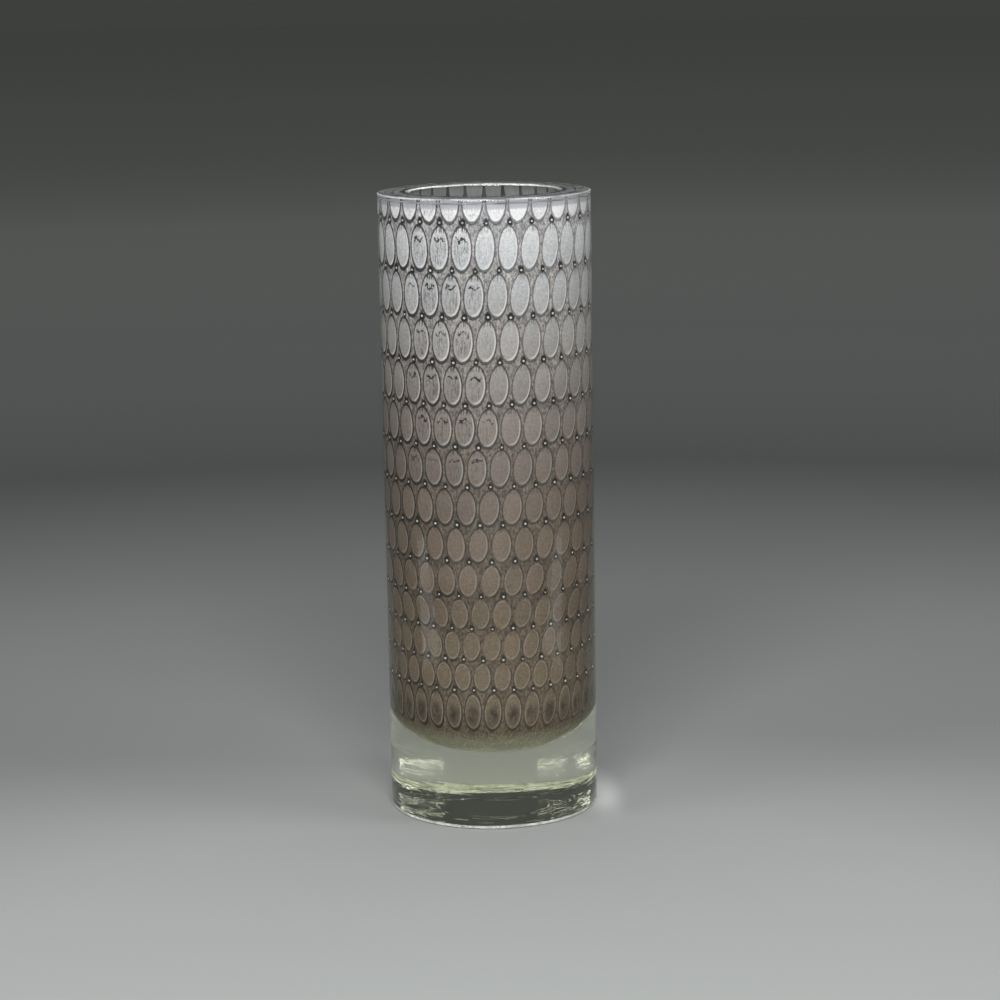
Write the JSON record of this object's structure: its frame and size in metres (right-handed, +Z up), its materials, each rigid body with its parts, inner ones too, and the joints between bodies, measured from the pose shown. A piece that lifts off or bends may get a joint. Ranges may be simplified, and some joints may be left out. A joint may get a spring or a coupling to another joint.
{
  "type": "glass cylinder vase",
  "caption": "Tall cased-glass cylinder vase: thick clear casing and solid base over a smoke-tinted layer with a net of oval air cells, open at the top.",
  "frame": {"origin": "centre of the flat resting face", "axes": "+Z up along the axis of the cylinder, towards the open rim"},
  "size_m": [0.0745, 0.0744, 0.22],
  "materials": {
    "clear_glass": "clear, faintly green, fire-polished with a ground and polished rim",
    "smoke_glass": "smoke grey-brown tint with flat pockets of trapped air",
    "lining_glass": "clear, fire-polished bore"
  },
  "bodies": {
    "root": {"clear_casing": "clear_glass", "smoke_layer": "smoke_glass", "clear_lining": "lining_glass"}
  },
  "joints": []
}
